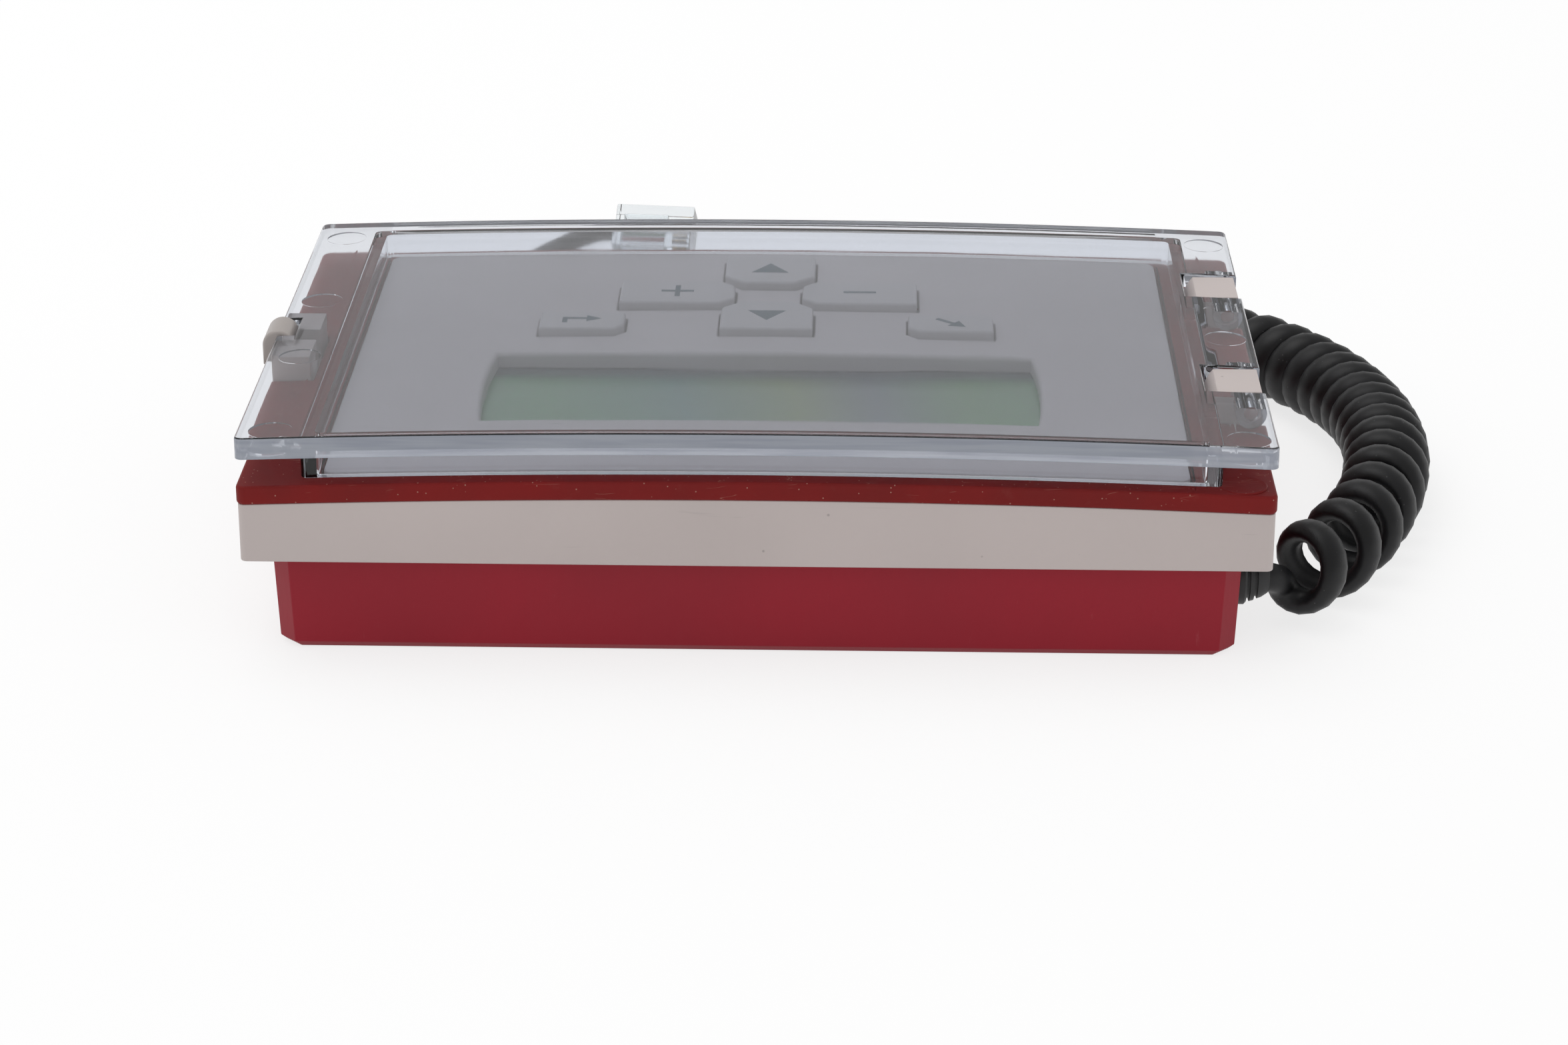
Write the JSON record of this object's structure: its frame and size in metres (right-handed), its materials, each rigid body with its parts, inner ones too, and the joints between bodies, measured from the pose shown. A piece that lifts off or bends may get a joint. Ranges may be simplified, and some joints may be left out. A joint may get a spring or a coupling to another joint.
{
  "type": "wall thermostat",
  "caption": "Panel-mounted room controller with a recessed display, a keypad, a clear hinged cover with a latch, and a curly lead ending in a clear modular plug.",
  "frame": {"origin": "middle of the rear housing's back face", "axes": "+Z out of the front panel, +X towards the cover's hinges and along the long side, -Y towards the edge that is up when it is mounted; stored lying on its back"},
  "size_m": [0.1769, 0.1423, 0.0341],
  "materials": {
    "crimson": "fine moulded texture",
    "white": "satin",
    "seal": "matt silicone with a little dust",
    "panel": "fine satin foil",
    "display": "polished",
    "diffuser": "satin",
    "pins": "tinned",
    "keys": "satin rubber",
    "switch": "satin",
    "board": "solder mask",
    "chip": "moulded",
    "crystal": "can",
    "sleeve": "printed sleeve",
    "header": "moulded",
    "steel": "zinc plated",
    "clear": "clear, polished",
    "latch": "satin",
    "cord": "smooth jacket",
    "wires": "insulation",
    "plug": "clear",
    "contact": "gold flash"
  },
  "bodies": {
    "unit": {"rear_housing": "crimson", "front_frame": "white", "seal_gasket": "seal", "front_panel": "panel", "display_glass": "display", "display_backlight": "diffuser", "display_pins": "pins", "key_switches": "switch", "circuit_board": "board", "processor_chip": "chip", "driver_chips": "chip", "quartz_crystal": "crystal", "capacitors": "sleeve", "temperature_sensor": "chip", "lead_header": "header", "board_screws": "steel", "case_screws": "steel", "hinge_pins": "steel", "latch_pin": "steel", "cord_gland": "cord", "cord_inner": "cord", "lead_wires": "wires", "cord_lead": "cord", "cord_coil": "cord", "cord_tail": "cord", "plug_body": "plug", "plug_contacts": "contact", "plug_wires": "wires"},
    "cover": {"clear_cover": "clear"},
    "latch": {"cover_latch": "latch"},
    "key_up": {"key_up": "keys"},
    "key_down": {"key_down": "keys"},
    "key_plus": {"key_plus": "keys"},
    "key_minus": {"key_minus": "keys"},
    "key_back": {"key_back": "keys"},
    "key_enter": {"key_enter": "keys"}
  },
  "joints": [
    {"name": "cover_hinge", "type": "hinge", "parent": "unit", "child": "cover", "pos_m": [0.0696, 0, 0.0288], "axis": [0, 1, 0], "range_deg": [0, 100]},
    {"name": "latch_pivot", "type": "hinge", "parent": "unit", "child": "latch", "pos_m": [-0.07, -0.0016, 0.0264], "axis": [0, -1, 0], "range_deg": [0, 22], "stiffness_Nm_per_rad": 0.01, "springref_deg": -5.73},
    {"name": "key_up_press", "type": "slide", "parent": "unit", "child": "key_up", "axis": [0, 0, -1], "range_m": [0, 0.0008], "stiffness_N_per_m": 900, "springref_m": -0.0005},
    {"name": "key_down_press", "type": "slide", "parent": "unit", "child": "key_down", "axis": [0, 0, -1], "range_m": [0, 0.0008], "stiffness_N_per_m": 900, "springref_m": -0.0005},
    {"name": "key_plus_press", "type": "slide", "parent": "unit", "child": "key_plus", "axis": [0, 0, -1], "range_m": [0, 0.0008], "stiffness_N_per_m": 900, "springref_m": -0.0005},
    {"name": "key_minus_press", "type": "slide", "parent": "unit", "child": "key_minus", "axis": [0, 0, -1], "range_m": [0, 0.0008], "stiffness_N_per_m": 900, "springref_m": -0.0005},
    {"name": "key_back_press", "type": "slide", "parent": "unit", "child": "key_back", "axis": [0, 0, -1], "range_m": [0, 0.0008], "stiffness_N_per_m": 900, "springref_m": -0.0005},
    {"name": "key_enter_press", "type": "slide", "parent": "unit", "child": "key_enter", "axis": [0, 0, -1], "range_m": [0, 0.0008], "stiffness_N_per_m": 900, "springref_m": -0.0005}
  ]
}
